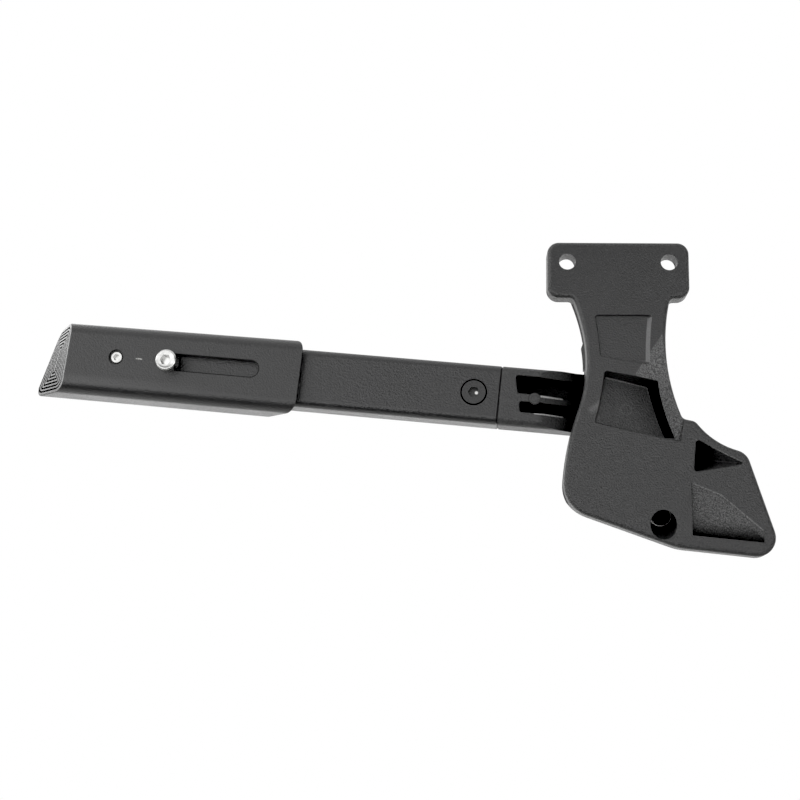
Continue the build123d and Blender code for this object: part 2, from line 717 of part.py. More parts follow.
def make_sleeve():
    front = sleeve_deep / 2
    bore_end = sole_at - sole_thick
    sleeve = sleeve_block(mouth_at - 5, sole_at + sole_reach[1] + 5)
    side = [(-mouth_at, front), (-mouth_at - mouth_slant, -front)]
    side += [(5 - mouth_at, -front), (5 - mouth_at, front)]
    slant = Plane.XZ * make_face(Polyline(*side, close=True))
    sleeve -= Pos(0, sleeve_high, 0) * extrude(slant, 2 * sleeve_high)
    end = sole_body()
    rear = tube(sleeve_high + 2, sleeve_deep + 2, sleeve_corner, mouth_at + 40, sole_at + 40)
    sleeve -= rear - end
    sleeve = fillet(sleeve.faces().sort_by(Axis.X)[0].edges(), sole_round)
    shallow = Pos(tread_depth, 0, 0) * end
    for ring in range(tread_rings):
        inset = tread_rim + ring * tread_pitch
        sleeve -= tread_core(inset) - tread_core(inset + tread_groove) - shallow
    bore = (leg_high + 2 * slide_clear, leg_deep + 2 * slide_clear, leg_corner + slide_clear)
    sleeve -= tube(*bore, mouth_at - 10, bore_end)
    slot_low, slot_high = bolt_at - slot_travel, bolt_at
    slot = Pos(-(slot_low + slot_high) / 2, slot_raise, 0) * SlotCenterToCenter(slot_travel, slot_width)
    sleeve -= extrude(slot, front + 1)
    sleeve -= stud(grub_dia / 2 + thread_fit, grub_at, 0, front + 1, slot_raise)
    sleeve -= stud(grub_dia / 2 + grub_rim, grub_at, front - 1, front + 1, slot_raise)
    return leg * sleeve


def make_grub():
    front = sleeve_deep / 2 - grub_recess
    screw = stud(grub_dia / 2, grub_at, leg_deep / 2 + slide_clear, front, slot_raise)
    screw = chamfer(screw.edges().group_by(Axis.Z)[-1], 0.3)
    return leg * (screw - stud_hex(grub_hex, grub_at, front - 1.6, front + 1, slot_raise))


pieces = {
    "mount_bracket": make_bracket(),
    "pivot_pin": make_pin(),
    "pivot_screw": make_pivot_screw(),
    "pivot_bush_inner": make_bush(hub_base, 1),
    "pivot_bush_outer": make_bush(hub_top, -1),
    "pivot_arm": make_arm(),
    "leg_tube": make_leg_tube(),
    "leg_screw": make_leg_screw(),
    "foot_sleeve": make_sleeve(),
    "adjust_bolt": make_adjust_bolt(),
    "clamp_nut": make_clamp_nut(),
    "grub_screw": make_grub(),
    "tension_spring": make_spring(),
    "bracket_spring_post": make_post(bracket_post, post_boss_top),
    "arm_spring_post": make_post(arm_post, ear_top),
    "stop_pin": rod(stop_dia / 2, 12, stop_top, stop_place),
    "stop_buffer": make_buffer(),
    "tube_end_plug": make_end_plug(),
}

os.makedirs("parts", exist_ok=True)
for name, shape in pieces.items():
    export_step(shape, "parts/" + name + ".step")
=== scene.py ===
import math

import bpy
from mathutils import Matrix, Vector

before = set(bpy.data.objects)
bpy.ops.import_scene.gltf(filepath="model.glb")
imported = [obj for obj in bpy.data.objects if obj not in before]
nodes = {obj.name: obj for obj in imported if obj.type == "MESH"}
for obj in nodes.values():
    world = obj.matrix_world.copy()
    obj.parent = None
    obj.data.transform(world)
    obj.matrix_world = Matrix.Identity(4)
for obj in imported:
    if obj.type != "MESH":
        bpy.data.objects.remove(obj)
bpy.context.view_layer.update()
print("loaded", len(nodes), "pieces")

rightWay = (1.0, 0.0, 0.0)
backWay = (0.0, 1.0, 0.0)
upWay = (0.0, 0.0, 1.0)
black = (0.0, 0.0, 0.0)
noiseSpan = (0.3, 0.7)  # most of a noise's values lie here


# short forms for shader nodes, used by every finish below
def newMaterial(name):
    material = bpy.data.materials.new(name)
    material.use_nodes = True
    tree = material.node_tree
    return material, tree, tree.nodes["Principled BSDF"]


def addNode(tree, kind, **settings):
    node = tree.nodes.new(kind)
    for key, value in settings.items():
        setattr(node, key, value)
    return node


def plug(tree, slot, value):
    if isinstance(value, bpy.types.NodeSocket):
        tree.links.new(value, slot)
    else:
        slot.default_value = value


def calc(tree, action, *terms):
    node = addNode(tree, "ShaderNodeMath", operation=action)
    for slot, term in zip(node.inputs, terms):
        plug(tree, slot, term)
    return node.outputs["Value"]


def product(tree, first, *others):
    for other in others:
        first = calc(tree, "MULTIPLY", first, other)
    return first


def largest(tree, first, *others):
    for other in others:
        first = calc(tree, "MAXIMUM", first, other)
    return first


def moreThan(tree, value, limit):
    return calc(tree, "GREATER_THAN", value, limit)


def lessThan(tree, value, limit):
    return calc(tree, "LESS_THAN", value, limit)


def offBy(tree, value, target):
    return calc(tree, "ABSOLUTE", calc(tree, "SUBTRACT", value, target))


def lengthOf(tree, first, second):
    squares = [calc(tree, "POWER", part, 2.0) for part in (first, second)]
    return calc(tree, "SQRT", calc(tree, "ADD", *squares))


def weigh(tree, first, second, secondShare):
    firstPart = calc(tree, "MULTIPLY", first, 1.0 - secondShare)
    return calc(tree, "ADD", firstPart, calc(tree, "MULTIPLY", second, secondShare))


def spread(tree, value, fromLow, fromHigh, low=0.0, high=1.0, soft=False):
    span = addNode(tree, "ShaderNodeMapRange")
    if soft:
        span.interpolation_type = "SMOOTHSTEP"
    limits = {"Value": value, "From Min": fromLow, "From Max": fromHigh, "To Min": low, "To Max": high}
    for key, limit in limits.items():
        plug(tree, span.inputs[key], limit)
    return span.outputs["Result"]


def blendColors(tree, share, first, second):
    mix = addNode(tree, "ShaderNodeMix", data_type="RGBA")
    plug(tree, mix.inputs["Factor"], share)
    for slot, color in ((mix.inputs[6], first), (mix.inputs[7], second)):
        plug(tree, slot, (*color, 1.0) if isinstance(color, tuple) else color)
    return mix.outputs[2]


def objectPlace(tree, turn=(0.0, 0.0, 0.0), stretch=(1.0, 1.0, 1.0)):
    place = addNode(tree, "ShaderNodeTexCoord")
    mapping = addNode(tree, "ShaderNodeMapping")
    mapping.inputs["Rotation"].default_value = turn
    mapping.inputs["Scale"].default_value = stretch
    tree.links.new(place.outputs["Object"], mapping.inputs["Vector"])
    return mapping.outputs["Vector"]


def objectNormal(tree):
    return addNode(tree, "ShaderNodeTexCoord").outputs["Normal"]


def alongWay(tree, vector, way):
    dot = addNode(tree, "ShaderNodeVectorMath", operation="DOT_PRODUCT")
    tree.links.new(vector, dot.inputs[0])
    dot.inputs[1].default_value = way
    return dot.outputs["Value"]


def awayFrom(tree, place, spot):
    gap = addNode(tree, "ShaderNodeVectorMath", operation="DISTANCE")
    tree.links.new(place, gap.inputs[0])
    gap.inputs[1].default_value = spot
    return gap.outputs["Value"]


def nearLine(tree, place, start, end):
    run = Vector(end) - Vector(start)
    offset = addNode(tree, "ShaderNodeVectorMath", operation="SUBTRACT")
    tree.links.new(place, offset.inputs[0])
    offset.inputs[1].default_value = start
    share = spread(tree, alongWay(tree, offset.outputs["Vector"], run), 0.0, run.length_squared)
    foot = addNode(tree, "ShaderNodeVectorMath", operation="SCALE")
    foot.inputs[0].default_value = run
    tree.links.new(share, foot.inputs["Scale"])
    gap = addNode(tree, "ShaderNodeVectorMath", operation="DISTANCE")
    tree.links.new(offset.outputs["Vector"], gap.inputs[0])
    tree.links.new(foot.outputs["Vector"], gap.inputs[1])
    return gap.outputs["Value"]


def noiseField(tree, place, scale, detail=2.0, rough=0.5):
    noise = addNode(tree, "ShaderNodeTexNoise")
    noise.inputs["Scale"].default_value = scale
    noise.inputs["Detail"].default_value = detail
    noise.inputs["Roughness"].default_value = rough
    tree.links.new(place, noise.inputs["Vector"])
    return noise.outputs["Fac"]


def softEdge(tree, radius, samples=4):
    bevel = addNode(tree, "ShaderNodeBevel", samples=samples)
    bevel.inputs["Radius"].default_value = radius
    return bevel.outputs["Normal"]


def roughen(tree, shader, heights, depth, normal=None):
    for height, strength in heights:
        bump = addNode(tree, "ShaderNodeBump")
        bump.inputs["Distance"].default_value = depth
        plug(tree, bump.inputs["Strength"], strength)
        plug(tree, bump.inputs["Height"], height)
        if normal is not None:
            tree.links.new(normal, bump.inputs["Normal"])
        normal = bump.outputs["Normal"]
    tree.links.new(normal, shader.inputs["Normal"])


# the folded leg's own directions, shared by the finishes that follow it
legSet = {"seam": (-0.0459, 0.016, -0.0521), "splay": math.radians(4.0), "climb": math.radians(5.4)}
legRun = (math.cos(legSet["splay"]), -math.sin(legSet["splay"]), -math.tan(legSet["climb"]))
toPivot = Vector(legRun).normalized()
toWheel = Vector((-math.sin(legSet["splay"]), -math.cos(legSet["splay"]), 0.0))
legUp = toWheel.cross(toPivot)


def legPlace(tree, place):
    seam = Vector(legSet["seam"])
    ways = (toPivot, legUp, toWheel)
    return [calc(tree, "SUBTRACT", alongWay(tree, place, way), way.dot(seam)) for way in ways]


# powder coat on the castings: smooth on the dressed fronts, sandy where the mould left it
# each noise is its scale, detail and roughness
castingLook = {
    "dark": (0.008, 0.008, 0.0083), "light": (0.012, 0.012, 0.0124), "shine": 0.55,
    "frontLean": (0.99985, 0.9993),
    "sandDark": (0.003, 0.003, 0.003), "sandLight": (0.026, 0.026, 0.0265), "sandSpan": (0.35, 0.65),
    "cloud": (38.0, 4.0, 0.6), "speck": (2400.0, 1.0, 0.5), "speckShare": 0.4,
    "grain": (1450.0, 2.0, 0.6), "grainDepth": 0.0004, "sandGrain": 1.0,
    "flatGrain": (0.4, 0.75), "grainHeights": (-0.015, -0.05),
    "flatRough": (0.3, 0.36), "sandRough": 0.42, "edge": 0.0004, "paintedShade": (0.0015, 0.0015, 0.0015),
}


def castingCoat(name, look, frontWay, addMarks):
    material, tree, shader = newMaterial(name)
    place = objectPlace(tree)
    normal = objectNormal(tree)
    cloud = noiseField(tree, place, *look["cloud"])
    speck = noiseField(tree, place, *look["speck"])
    grain = noiseField(tree, place, *look["grain"])
    sand = spread(tree, alongWay(tree, normal, frontWay), *look["frontLean"])
    tone = weigh(tree, cloud, speck, look["speckShare"])
    dressed = blendColors(tree, spread(tree, tone, *noiseSpan), look["dark"], look["light"])
    sandy = blendColors(tree, spread(tree, speck, *look["sandSpan"]), look["sandDark"], look["sandLight"])
    color, paintedShade = addMarks(tree, place, normal, speck, blendColors(tree, sand, dressed, sandy))
    tree.links.new(blendColors(tree, paintedShade, color, look["paintedShade"]), shader.inputs["Base Color"])
    tree.links.new(paintedShade, shader.inputs["Metallic"])  # painted shade in recesses and where parts shade each other: black with no sheen
    rough = spread(tree, cloud, *noiseSpan, *look["flatRough"])
    rough = largest(tree, rough, product(tree, sand, look["sandRough"]), paintedShade)
    tree.links.new(rough, shader.inputs["Roughness"])
    shader.inputs["Specular IOR Level"].default_value = look["shine"]
    height = alongWay(tree, place, upWay)
    flatGrain = spread(tree, height, *look["grainHeights"], *look["flatGrain"])  # the flange is the smoothest
    strength = spread(tree, sand, 0.0, 1.0, flatGrain, look["sandGrain"])
    roughen(tree, shader, ((grain, strength),), look["grainDepth"], softEdge(tree, look["edge"]))
    return material


# marks on the bracket: pale sandy facet and ramp with painted light, painted highlights on the neck pocket's
# leaning wall and along pocket edges, a painted glint, mould marks, painted shade on the steep walls and in
# the deep corners
bracketMarks = {
    "facetWay": (0.0366, -0.99903, -0.0244), "facetLean": (0.9996, 0.9999),
    "paleDark": (0.006, 0.006, 0.006), "paleLight": (0.1, 0.1, 0.101), "paleSpan": (0.36, 0.68),
    "rampWay": (-0.147, -0.971, -0.187), "rampLean": (0.985, 0.995),
    "rampDeep": (0.0, 0.0004), "rampPale": 0.6,
    "slopeWay": (-0.6324, -0.7726, 0.0558), "slopeLean": (0.97, 0.99), "slopeLow": -0.042,
    "slopeHighlight": (0.075, 0.075, 0.076),
    "paleHighlight": (0.1, 0.1, 0.1), "highlightWidth": (0.0004, 0.00012),
    "highlightSpan": (0.35, 0.6), "highlightShare": (0.15, 0.85),
    "highlightEdges": (
        ((0.0275, 0.0, -0.0884), (0.0376, 0.0, -0.0925), (0.0529, 0.0, -0.1056)),  # ramp
        ((-0.0051, 0.0038, -0.0462), (0.0112, 0.0056, -0.0498), (0.0173, 0.0037, -0.0692)),  # waist floor
        ((0.0288, 0.0, -0.0713), (0.0373, 0.0, -0.0755), (0.0455, 0.0, -0.0795)),  # wedge
    ),
    "glint": ((-0.0108, 0.0, -0.0598), (-0.0080, 0.0, -0.0575)), "glintWidth": 0.0022, "glintShare": 0.4,
    "ringAt": (0.0026, 0.0031, -0.0592), "ringSize": 0.0021, "ringWidth": 0.0004, "ringShare": 0.25,
    "spots": ((0.00287, 0.0013, -0.02546), (-0.00122, 0.0, -0.08759)), "spotSize": 0.0009,
    "wallFrom": 0.004, "wallTop": -0.044, "wallLow": -0.08, "wallLean": (-0.45, -0.6), "wallShade": 0.92,
    "ribLean": (-0.7, -0.9), "ribDeep": (0.002, 0.007), "ribShade": 0.8,
    "shadeDeep": (0.0002, 0.0006),  # painted shade only below the front face
    "cornerShade": (  # waist, ramp, wedge
        {"line": ((0.0112, 0.0056, -0.0498), (0.0173, 0.0037, -0.0692)), "width": 0.012, "most": 0.3},
        {"line": ((0.0275, 0.0047, -0.108), (0.0535, 0.001, -0.1102)), "width": 0.008, "most": 0.8},
        {"line": ((0.0285, 0.003, -0.073), (0.0285, 0.003, -0.0825)), "width": 0.012, "most": 0.8},
    ),
}


def bracketHighlightsAndMarks(tree, place, speck, color, look):
    # painted highlights along the pocket edges, broken up by the speck
    highlightBreakup = spread(tree, speck, *look["highlightSpan"], *look["highlightShare"])
    for edge in look["highlightEdges"]:
        for start, end in zip(edge, edge[1:]):
            highlightLine = spread(tree, nearLine(tree, place, start, end), *look["highlightWidth"])
            color = blendColors(tree, product(tree, highlightLine, highlightBreakup), color, look["paleHighlight"])
    # painted glint beside the waist pocket
    fromGlint = nearLine(tree, place, *look["glint"])
    glint = spread(tree, fromGlint, look["glintWidth"], 0.0, 0.0, look["glintShare"], soft=True)
    color = blendColors(tree, glint, color, look["paleHighlight"])
    # a pale ring mark on the waist floor, in the same pale colour
    offRing = offBy(tree, awayFrom(tree, place, look["ringAt"]), look["ringSize"])
    ring = spread(tree, offRing, look["ringWidth"], 0.0, 0.0, look["ringShare"])
    color = blendColors(tree, ring, color, look["paleHighlight"])
    for spot in look["spots"]:
        dent = spread(tree, awayFrom(tree, place, spot), look["spotSize"], 0.0, soft=True)
        color = blendColors(tree, dent, color, black)
    return color


def markBracket(tree, place, normal, speck, color):
    look = bracketMarks
    across, depth, height = (alongWay(tree, place, way) for way in (rightWay, backWay, upWay))
    # the cast sand speck made pale: painted light where the facet and ramp face the light
    paintedLitSand = blendColors(tree, spread(tree, speck, *look["paleSpan"]), look["paleDark"], look["paleLight"])
    facet = spread(tree, alongWay(tree, normal, look["facetWay"]), *look["facetLean"])
    color = blendColors(tree, facet, color, paintedLitSand)
    rightPart = moreThan(tree, across, look["wallFrom"])
    # painted highlight on the neck pocket's leaning right wall
    slope = spread(tree, alongWay(tree, normal, look["slopeWay"]), *look["slopeLean"])
    slope = product(tree, slope, rightPart, moreThan(tree, height, look["slopeLow"]))
    color = blendColors(tree, slope, color, look["slopeHighlight"])
    onRamp = spread(tree, alongWay(tree, normal, look["rampWay"]), *look["rampLean"])
    onRamp = product(tree, onRamp, spread(tree, depth, *look["rampDeep"], 0.0, look["rampPale"]))
    color = blendColors(tree, onRamp, color, paintedLitSand)
    color = bracketHighlightsAndMarks(tree, place, speck, color, look)
    # painted shade on the steep walls that face left in the pockets
    sideways = alongWay(tree, normal, rightWay)
    wall = spread(tree, sideways, *look["wallLean"], 0.0, look["wallShade"])
    wall = product(tree, wall, rightPart, lessThan(tree, height, look["wallTop"]))
    wall = product(tree, wall, moreThan(tree, height, look["wallLow"]))
    rib = spread(tree, sideways, *look["ribLean"], 0.0, look["ribShade"])
    paintedShadeMask = largest(tree, wall, product(tree, rib, spread(tree, depth, *look["ribDeep"])))
    # painted shade deep in the waist, ramp and wedge corners
    sunk = spread(tree, depth, *look["shadeDeep"])
    for corner in look["cornerShade"]:
        fromCorner = nearLine(tree, place, *corner["line"])
        recessShade = spread(tree, fromCorner, corner["width"], 0.0, 0.0, corner["most"], soft=True)
        paintedShadeMask = largest(tree, paintedShadeMask, product(tree, recessShade, sunk))
    return color, paintedShadeMask


# marks on the arm: painted shade deep in the open front and painted shadow beside the bracket, painted
# highlights on the rail edges, rings on the boss
armMarks = {
    "paleHighlight": (0.3, 0.3, 0.3), "highlightWidth": (0.0005, 0.0002),
    "rails": (
        ((-0.0301, 0.0079, -0.0531), (-0.0217, 0.0100, -0.0537)),
        ((-0.0325, 0.0080, -0.0599), (-0.0302, 0.0079, -0.0601), (-0.0217, 0.0100, -0.0608)),
    ),
    "bossAt": (-0.0326, 0.0081, -0.0539), "bossRings": ((0.0023, 0.55), (0.0013, 0.25)), "ringWidth": 0.0003,
    "openDeep": (0.005, 0.001), "openHigh": 0.0095, "openLong": 0.036, "openLean": -0.3, "openShade": 0.6,
    "besideFrom": (0.014, 0.032), "besideLean": 0.5, "besideShade": 0.85,
}


def markArm(tree, place, normal, speck, color):
    look = armMarks
    along, rise, deep = legPlace(tree, place)
    # painted highlights along the rail edges
    for rail in look["rails"]:
        for start, end in zip(rail, rail[1:]):
            highlightLine = spread(tree, nearLine(tree, place, start, end), *look["highlightWidth"])
            color = blendColors(tree, highlightLine, color, look["paleHighlight"])
    fromBoss = awayFrom(tree, place, look["bossAt"])
    rings = [spread(tree, offBy(tree, fromBoss, size), look["ringWidth"], 0.0, 0.0, most)
             for size, most in look["bossRings"]]
    facing = alongWay(tree, normal, toWheel)
    # painted shade deep in the knuckle's open front
    recessShade = spread(tree, deep, *look["openDeep"], 0.0, look["openShade"], soft=True)
    recessShade = product(tree, recessShade, lessThan(tree, calc(tree, "ABSOLUTE", rise), look["openHigh"]))
    recessShade = product(tree, recessShade, lessThan(tree, along, look["openLong"]))
    recessShade = product(tree, recessShade, moreThan(tree, facing, look["openLean"]))
    # painted shadow of the bracket on the front faces beside it
    beside = spread(tree, along, *look["besideFrom"], 0.0, look["besideShade"])
    beside = product(tree, beside, moreThan(tree, facing, look["besideLean"]))
    # the boss rings join the painted shade in one black mix
    return color, largest(tree, recessShade, beside, *rings)


# satin coat on the drawn tube: faint draw lines along the leg, painted shade as a dark line round the screw
tubeLook = {
    "dark": (0.008, 0.008, 0.0085), "light": (0.0115, 0.0115, 0.012), "shine": 0.55, "rough": (0.3, 0.37),
    "cloud": (45.0, 3.0), "grain": (1450.0, 2.0), "grainShare": 0.5, "grainStrength": 0.55, "depth": 0.0004,
    "lines": (900.0, 2.0), "lineStrength": 0.05, "lineStretch": (0.02, 1.0, 1.0),
    "lineTurn": (0.0, legSet["climb"], -legSet["splay"]),
    "screwAt": 0.0102, "screwRaise": 0.0, "screwShadeRing": 0.005, "ringWidth": (0.00035, 0.0002),
}


# painted shade: a dark ring round a screw head, on the front only
def screwShadeRing(tree, place, look):
    fromSeam, rise, deep = legPlace(tree, place)
    aside = calc(tree, "ADD", fromSeam, look["screwAt"])
    away = lengthOf(tree, aside, calc(tree, "SUBTRACT", rise, look["screwRaise"]))
    ring = spread(tree, offBy(tree, away, look["screwShadeRing"]), *look["ringWidth"])
    return product(tree, ring, moreThan(tree, deep, 0.0))


def tubeCoat(look):
    material, tree, shader = newMaterial("tubeCoat")
    place = objectPlace(tree)
    lines = noiseField(tree, objectPlace(tree, look["lineTurn"], look["lineStretch"]), *look["lines"])
    cloud = noiseField(tree, place, *look["cloud"])
    grain = noiseField(tree, place, *look["grain"])
    tone = weigh(tree, cloud, grain, look["grainShare"])
    color = blendColors(tree, spread(tree, tone, *noiseSpan), look["dark"], look["light"])
    # painted shade round the screw: black with no sheen
    ring = screwShadeRing(tree, place, look)
    tree.links.new(blendColors(tree, ring, color, black), shader.inputs["Base Color"])
    tree.links.new(ring, shader.inputs["Metallic"])
    tree.links.new(spread(tree, lines, *noiseSpan, *look["rough"]), shader.inputs["Roughness"])
    shader.inputs["Specular IOR Level"].default_value = look["shine"]
    heights = ((lines, look["lineStrength"]), (grain, look["grainStrength"]))
    roughen(tree, shader, heights, look["depth"])
    return material


# leg screw: coated like the tube, with a painted glint as a bright metal spot in its socket and the painted
# shade line round its head
screwLook = {
    "dark": (0.008, 0.008, 0.0085), "light": (0.0115, 0.0115, 0.012), "shine": 0.55, "rough": (0.32, 0.4),
    "grain": (1700.0, 2.0), "grainStrength": 0.3, "depth": 0.0003,
    "paintedShine": (0.6, 0.6, 0.59), "glintAt": (-0.0554, 0.0118, -0.0510), "glintSize": (0.0009, 0.0004),
}


def screwCoat(look):
    material, tree, shader = newMaterial("screwCoat")
    place = objectPlace(tree)
    grain = noiseField(tree, place, *look["grain"])
    color = blendColors(tree, spread(tree, grain, *noiseSpan), look["dark"], look["light"])
    # painted glint: a bright metal spot in the socket
    paintedShine = spread(tree, awayFrom(tree, place, look["glintAt"]), *look["glintSize"], soft=True)
    ring = screwShadeRing(tree, place, tubeLook)
    color = blendColors(tree, ring, blendColors(tree, paintedShine, color, look["paintedShine"]), black)
    tree.links.new(color, shader.inputs["Base Color"])
    tree.links.new(largest(tree, paintedShine, ring), shader.inputs["Metallic"])
    tree.links.new(spread(tree, grain, *noiseSpan, *look["rough"]), shader.inputs["Roughness"])
    shader.inputs["Specular IOR Level"].default_value = look["shine"]
    roughen(tree, shader, ((grain, look["grainStrength"]),), look["depth"])
    return material


# moulded foot: even spark grain, painted shade in the tread grooves and as a line round the slot, a painted
# highlight band low on the front, a scratch and a nick from use
footLook = {
    "dark": (0.0085, 0.0085, 0.0088), "light": (0.0125, 0.0125, 0.0129), "shine": 0.55, "rough": (0.31, 0.37),
    "cloud": (60.0, 4.0), "grain": (1450.0, 2.0, 0.6),
    "grainShare": 0.5, "grainStrength": 0.5, "depth": 0.0004,
    "edge": 0.0003, "halfHigh": 0.01515, "halfDeep": 0.0102, "corner": 0.005, "frontFrom": (0.002, 0.006),
    "soleAt": 0.1775, "soleReach": 0.0159, "soleDrop": 0.239, "soleFrom": 0.0015,
    "treadRim": 0.0009, "grooveStart": (0.00002, 0.0003), "grooveBlend": 0.0001,
    "landColor": (0.03, 0.03, 0.0295), "landDeep": (0.0001, 0.00005),
    "slotMid": -0.1176, "slotHalf": 0.017, "slotRaise": 0.0009, "slotRound": 0.0034, "slotFront": 0.0099,
    "slotLine": (0.0005, 0.0002), "slotShade": 0.6,
    "sheenRise": -0.0098, "sheenHigh": 0.0032, "sheenAlong": (-0.1, -0.17), "sheenShare": 0.8,
    "sheenColor": (0.03, 0.03, 0.0303),
    "scratch": ((-0.1937, 0.0161, -0.0372), (-0.1915, 0.016, -0.0374)), "scratchColor": (0.6, 0.6, 0.58),
    "scratchSpan": (0.42, 0.6), "scratchShare": 0.6,
    "nick": ((-0.1653, 0.0198, -0.056), (-0.1628, 0.0195, -0.0563)), "markWidth": (0.0004, 0.0001),
}


def footTread(tree, place, look):
    along, rise, deep = legPlace(tree, place)
    share = spread(tree, deep, look["halfDeep"], -look["halfDeep"])
    reach = calc(tree, "SUBTRACT", look["soleReach"], calc(tree, "MULTIPLY", rise, look["soleDrop"]))
    below = calc(tree, "ADD", along, calc(tree, "MULTIPLY_ADD", share, reach, look["soleAt"]))
    # painted shade in the tread grooves
    start = spread(tree, deep, *look["frontFrom"], *look["grooveStart"])
    grooveShade = spread(tree, calc(tree, "SUBTRACT", below, start), 0.0, look["grooveBlend"])
    land = spread(tree, calc(tree, "ABSOLUTE", below), *look["landDeep"])
    past = []
    for value, half in ((rise, look["halfHigh"]), (deep, look["halfDeep"])):
        over = calc(tree, "SUBTRACT", calc(tree, "ABSOLUTE", value), half - look["corner"])
        past.append(calc(tree, "MAXIMUM", over, 0.0))
    # inside the sleeve's rounded outline
    inTread = lessThan(tree, lengthOf(tree, *past), look["corner"] - look["treadRim"])
    nearSole = lessThan(tree, along, look["soleFrom"] - look["soleAt"])
    return product(tree, grooveShade, inTread, nearSole), land


# painted shade: a dark line round the slot's rim
def slotShadeLine(tree, place, look):
    along, rise, deep = legPlace(tree, place)
    past = calc(tree, "SUBTRACT", offBy(tree, along, look["slotMid"]), look["slotHalf"])
    past = calc(tree, "MAXIMUM", past, 0.0)
    away = lengthOf(tree, past, calc(tree, "SUBTRACT", rise, look["slotRaise"]))
    line = spread(tree, offBy(tree, away, look["slotRound"]), *look["slotLine"], 0.0, look["slotShade"])
    return product(tree, line, moreThan(tree, deep, look["slotFront"]))


# painted highlight: a soft pale band low on the sleeve's front
def paintedSheenBand(tree, place, look):
    along, rise, deep = legPlace(tree, place)
    band = spread(tree, offBy(tree, rise, look["sheenRise"]), look["sheenHigh"], 0.0, soft=True)
    fading = spread(tree, along, *look["sheenAlong"], 0.0, look["sheenShare"], soft=True)
    return product(tree, band, fading, moreThan(tree, deep, look["frontFrom"][1]))


def footPlastic(look):
    material, tree, shader = newMaterial("footPlastic")
    place = objectPlace(tree)
    cloud = noiseField(tree, place, *look["cloud"])
    grain = noiseField(tree, place, *look["grain"])
    tone = weigh(tree, cloud, grain, look["grainShare"])
    color = blendColors(tree, spread(tree, tone, *noiseSpan), look["dark"], look["light"])
    grooveShade, land = footTread(tree, place, look)
    color = blendColors(tree, land, color, look["landColor"])  # scuffed by the ground
    sheen = paintedSheenBand(tree, place, look)
    color = blendColors(tree, sheen, color, look["sheenColor"])  # painted highlight: a soft pale band low on the front
    # painted shade in the tread grooves and round the slot: black, with no sheen
    paintedShadeMask = largest(tree, grooveShade, slotShadeLine(tree, place, look))
    color = blendColors(tree, paintedShadeMask, color, black)
    scratch = spread(tree, nearLine(tree, place, *look["scratch"]), *look["markWidth"])
    broken = spread(tree, grain, *look["scratchSpan"], 0.0, look["scratchShare"])
    color = blendColors(tree, product(tree, scratch, broken), color, look["scratchColor"])
    nick = spread(tree, nearLine(tree, place, *look["nick"]), *look["markWidth"])
    tree.links.new(blendColors(tree, nick, color, black), shader.inputs["Base Color"])
    tree.links.new(largest(tree, paintedShadeMask, nick), shader.inputs["Metallic"])
    shader.inputs["Specular IOR Level"].default_value = look["shine"]
    rough = spread(tree, cloud, *noiseSpan, *look["rough"])
    tree.links.new(largest(tree, rough, paintedShadeMask), shader.inputs["Roughness"])
    roughen(tree, shader, ((grain, look["grainStrength"]),), look["depth"], softEdge(tree, look["edge"]))
    return material


# bare and plated metals share one tree: slow cloudiness, fine scratches, own colour and roughness
metalLooks = {
    "boltZinc": {
        "dark": (0.3, 0.3, 0.296), "light": (0.56, 0.56, 0.55), "rough": (0.16, 0.3),
        "scratchScale": 1500.0,
    },
    "blackOxide": {
        "dark": (0.02, 0.02, 0.021), "light": (0.035, 0.035, 0.036), "rough": (0.3, 0.42),
        "scratchScale": 1900.0,
    },
    "groundSteel": {
        "dark": (0.42, 0.42, 0.42), "light": (0.55, 0.55, 0.55), "rough": (0.25, 0.4),
        "scratchScale": 1700.0,
    },
    "springWire": {
        "dark": (0.36, 0.36, 0.37), "light": (0.5, 0.5, 0.5), "rough": (0.26, 0.38),
        "scratchScale": 1400.0,
    },
    "bushBronze": {
        "dark": (0.42, 0.25, 0.1), "light": (0.58, 0.37, 0.17), "rough": (0.32, 0.48),
        "scratchScale": 2100.0,
    },
}
metalGrain = {"cloud": (240.0, 4.0, 0.6), "scratchDetail": (3.0, 0.7), "strength": 0.08, "depth": 0.0001}
# painted highlight: the pivot screw's rim is painted pale, most on one side
rimLook = {
    "axis": (0.0, -0.882948, -0.469472), "color": (0.9, 0.9, 0.89),
    "leanFrom": (0.5, 0.6), "leanTo": (0.9, 0.82),
    "brightSide": (0.021, 0.0138), "dullShare": 0.35,
}
# painted shade: a dark line on the lower side of the adjusting bolt's head
boltLowShade = {
    "screwAt": 0.1346, "screwRaise": 0.0009, "screwShadeRing": 0.0034, "ringWidth": (0.0005, 0.0001),
    "lowSide": (-0.0008, -0.0024), "most": 0.75, "color": (0.02, 0.02, 0.02),
}


def paintedRimHighlight(tree, place, rim):
    facing = alongWay(tree, objectNormal(tree), rim["axis"])
    onRim = product(tree, spread(tree, facing, *rim["leanFrom"]), spread(tree, facing, *rim["leanTo"]))
    across = alongWay(tree, place, rightWay)
    return product(tree, onRim, spread(tree, across, *rim["brightSide"], rim["dullShare"], 1.0))


